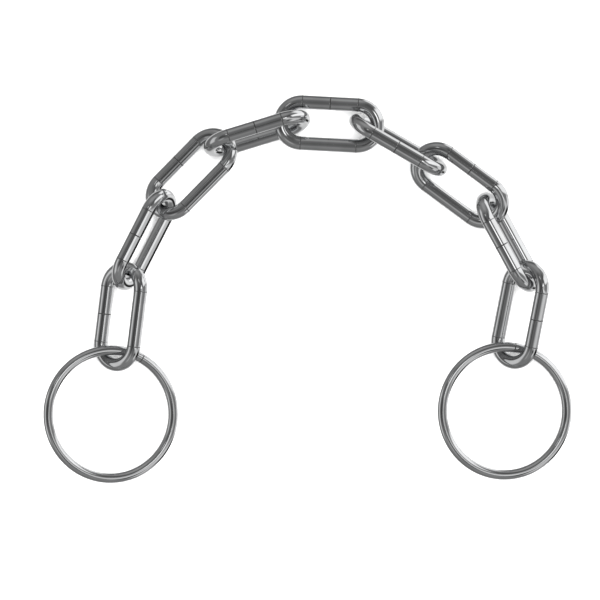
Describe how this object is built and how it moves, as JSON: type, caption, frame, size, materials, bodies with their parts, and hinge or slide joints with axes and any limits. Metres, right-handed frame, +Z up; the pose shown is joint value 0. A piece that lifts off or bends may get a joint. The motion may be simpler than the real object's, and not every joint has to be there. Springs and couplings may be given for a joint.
{
  "type": "length of steel chain with end rings",
  "caption": "Short length of welded long-link steel chain with a thin round ring on each end, laid in an arch.",
  "frame": {"origin": "on the floor, under the middle of the whole chain's box", "axes": "+Z up from the floor, +X from the left ring to the right ring, +Y towards the top of the arch"},
  "size_m": [0.233, 0.1712, 0.0242],
  "materials": {
    "link_steel": "bright polished steel",
    "ring_steel": "bright polished steel"
  },
  "bodies": {
    "link_1": {"link_1": "link_steel"},
    "link_2": {"link_2": "link_steel"},
    "link_3": {"link_3": "link_steel"},
    "link_4": {"link_4": "link_steel"},
    "link_5": {"link_5": "link_steel"},
    "link_6": {"link_6": "link_steel"},
    "link_7": {"link_7": "link_steel"},
    "link_8": {"link_8": "link_steel"},
    "link_9": {"link_9": "link_steel"},
    "ring_left": {"ring_left": "ring_steel"},
    "ring_right": {"ring_right": "ring_steel"}
  },
  "joints": [
    {"name": "link_4_swing", "type": "hinge", "parent": "link_5", "child": "link_4", "pos_m": [-0.0019, 0.0749, 0.0118], "axis": [0, 0, -1], "range_deg": [-45, 45]},
    {"name": "link_3_swing", "type": "hinge", "parent": "link_4", "child": "link_3", "pos_m": [-0.0428, 0.0624, 0.0118], "axis": [0, 0, 1], "range_deg": [-9, 45]},
    {"name": "link_2_swing", "type": "hinge", "parent": "link_3", "child": "link_2", "pos_m": [-0.0624, 0.0409, 0.0112], "axis": [0, 0, -1], "range_deg": [-45, 10]},
    {"name": "link_1_swing", "type": "hinge", "parent": "link_2", "child": "link_1", "pos_m": [-0.0818, 0.0028, 0.0112], "axis": [0, 0, 1], "range_deg": [-8, 32]},
    {"name": "ring_left_swing", "type": "hinge", "parent": "link_1", "child": "ring_left", "pos_m": [-0.0843, -0.027, 0.0085], "axis": [0, 0, -1], "range_deg": [-12, 6]},
    {"name": "link_6_swing", "type": "hinge", "parent": "link_5", "child": "link_6", "pos_m": [0.0213, 0.0742, 0.0121], "axis": [0, 0, -1], "range_deg": [-45, 45]},
    {"name": "link_7_swing", "type": "hinge", "parent": "link_6", "child": "link_7", "pos_m": [0.0583, 0.0528, 0.0121], "axis": [0, 0, 1], "range_deg": [-6, 45]},
    {"name": "link_8_swing", "type": "hinge", "parent": "link_7", "child": "link_8", "pos_m": [0.0779, 0.0394, 0.0117], "axis": [0, 0, -1], "range_deg": [-45, 5]},
    {"name": "link_9_swing", "type": "hinge", "parent": "link_8", "child": "link_9", "pos_m": [0.0983, 0.0018, 0.0117], "axis": [0, 0, 1], "range_deg": [-20, 16]},
    {"name": "ring_right_swing", "type": "hinge", "parent": "link_9", "child": "ring_right", "pos_m": [0.0907, -0.0257, 0.0085], "axis": [0, 0, -1], "range_deg": [-15, 5]}
  ]
}
